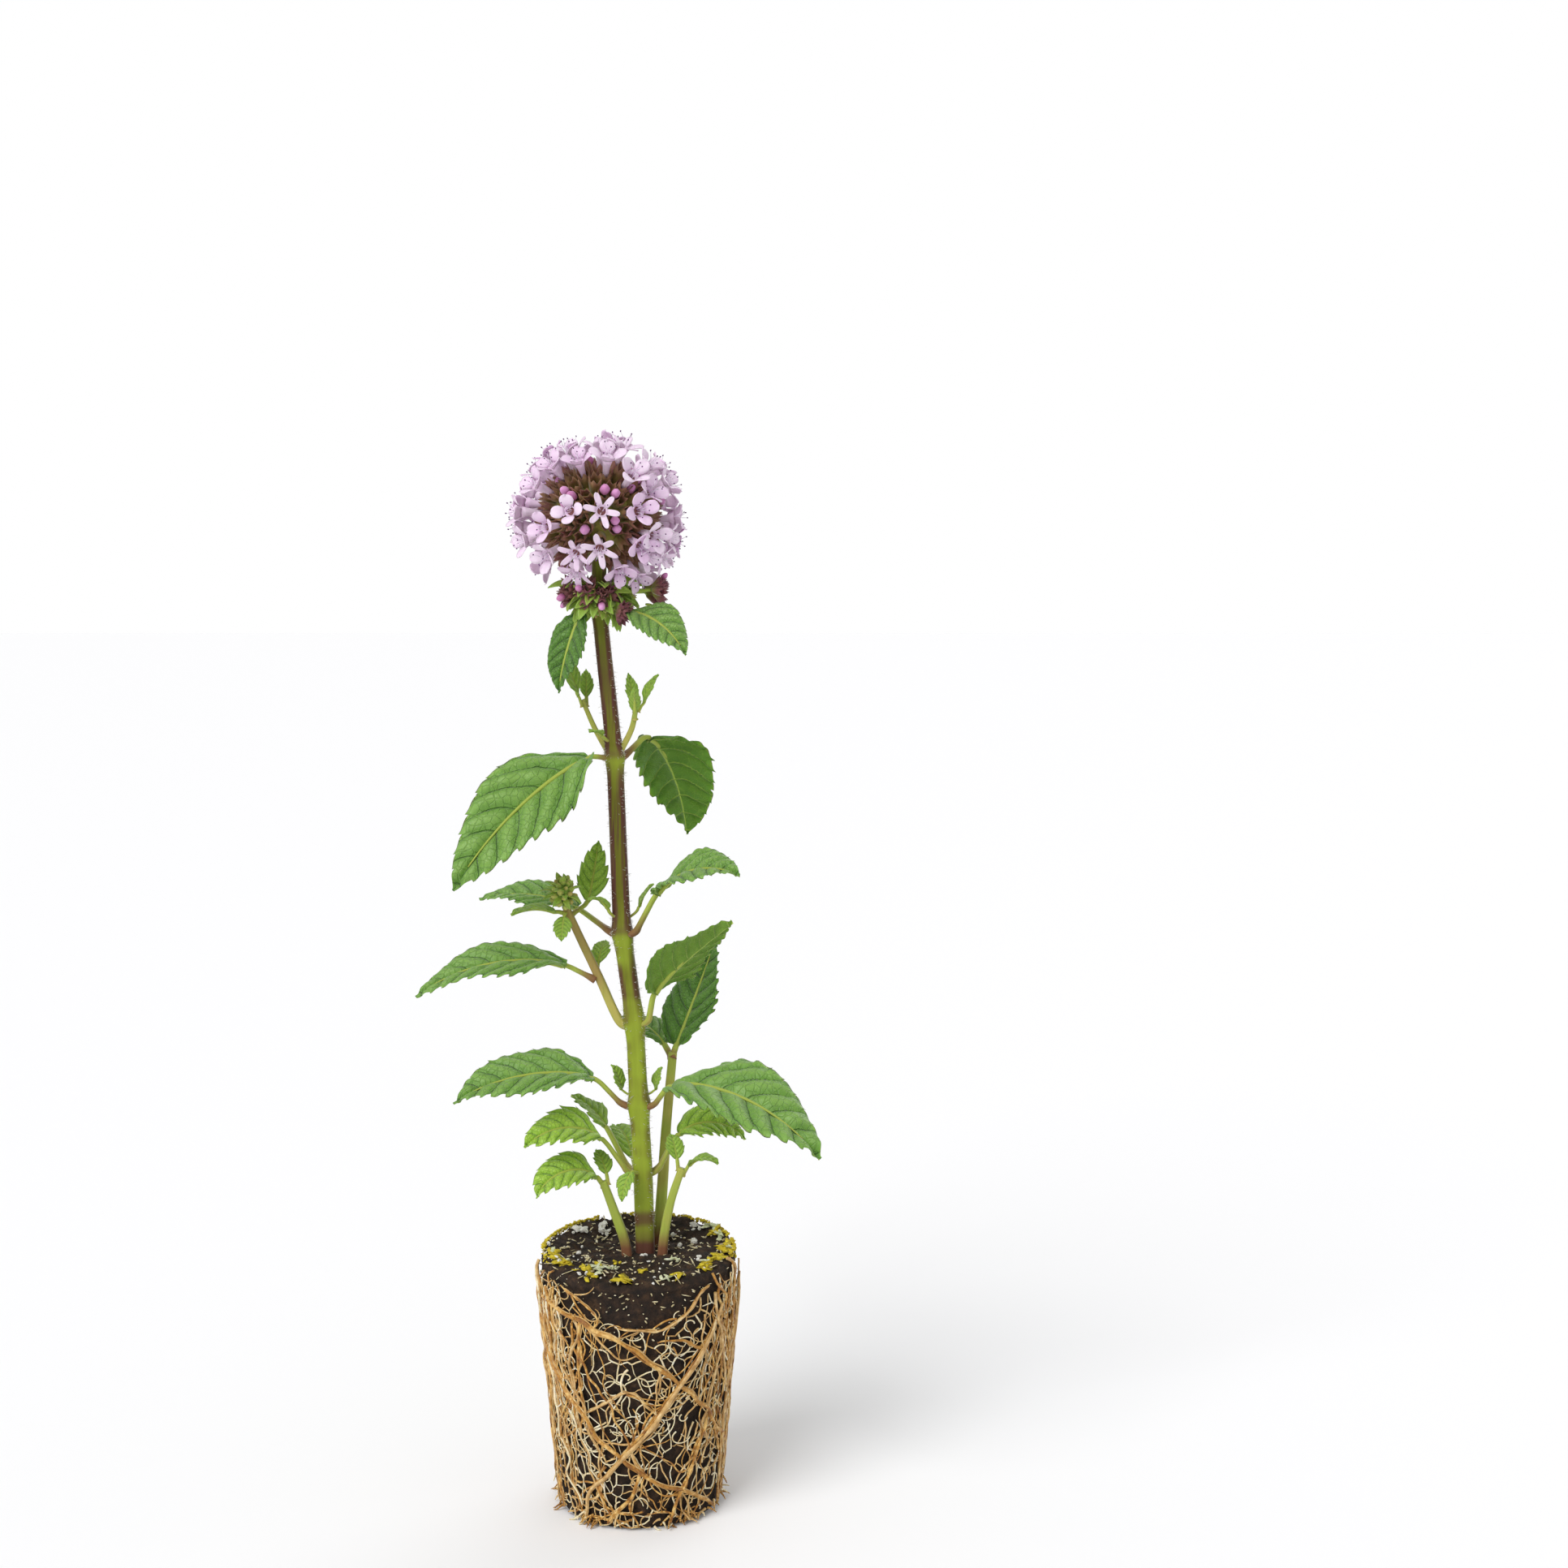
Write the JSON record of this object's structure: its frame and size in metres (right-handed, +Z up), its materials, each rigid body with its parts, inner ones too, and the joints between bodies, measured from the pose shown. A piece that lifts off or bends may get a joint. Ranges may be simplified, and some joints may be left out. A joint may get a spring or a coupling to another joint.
{
  "type": "water mint plug plant",
  "caption": "Rooted young water mint: a square stem with toothed leaves in pairs and a round lilac flower head, standing on a bare root-bound peat plug.",
  "frame": {"origin": "centre of the root plug's flat base, where it rests", "axes": "+Z up along the stem, +X to the plant's right as seen from the front, +Y to its back"},
  "size_m": [0.0771, 0.0387, 0.206],
  "materials": {
    "peat": "matt",
    "stem": "satin",
    "leaf": "satin",
    "flower": "matt",
    "bud": "matt"
  },
  "bodies": {
    "root": {"axil_leaf_1_left": "leaf", "axil_leaf_1_right": "leaf", "axil_leaf_3_left": "leaf", "axil_leaf_3_right": "leaf", "axil_leaf_4_left": "leaf", "axil_shoot_left_leaf": "leaf", "axil_shoot_left_leaf_back": "leaf", "axil_shoot_left_stem": "stem", "axil_shoot_right_leaf": "leaf", "axil_shoot_right_leaf_back": "leaf", "axil_shoot_right_leaf_front": "leaf", "axil_shoot_right_stem": "stem", "basal_leaf_back": "leaf", "basal_leaf_front": "leaf", "basal_leaf_left": "leaf", "basal_leaf_left_back": "leaf", "basal_leaf_left_low": "leaf", "basal_leaf_left_low_inner": "leaf", "basal_leaf_right": "leaf", "basal_leaf_right_low": "leaf", "basal_leaf_right_low_inner": "leaf", "basal_shoot_left_stem": "stem", "basal_shoot_right_stem": "stem", "bract_left": "leaf", "bract_right": "leaf", "branch_bract_front": "leaf", "branch_bract_left": "leaf", "branch_bract_right": "leaf", "branch_bud_cluster": "bud", "branch_leaf": "leaf", "branch_leaf_inner": "leaf", "branch_stem": "stem", "bud_whorl": "bud", "flower_head": "flower", "leaf_1_left": "leaf", "leaf_1_right": "leaf", "leaf_2_right": "leaf", "leaf_3_left": "leaf", "leaf_3_right": "leaf", "leaf_4_left": "leaf", "leaf_4_right": "leaf", "main_stem": "stem", "root_ball": "peat", "tall_shoot_leaf": "leaf", "tall_shoot_leaf_back": "leaf", "tall_shoot_stem": "stem"}
  },
  "joints": []
}
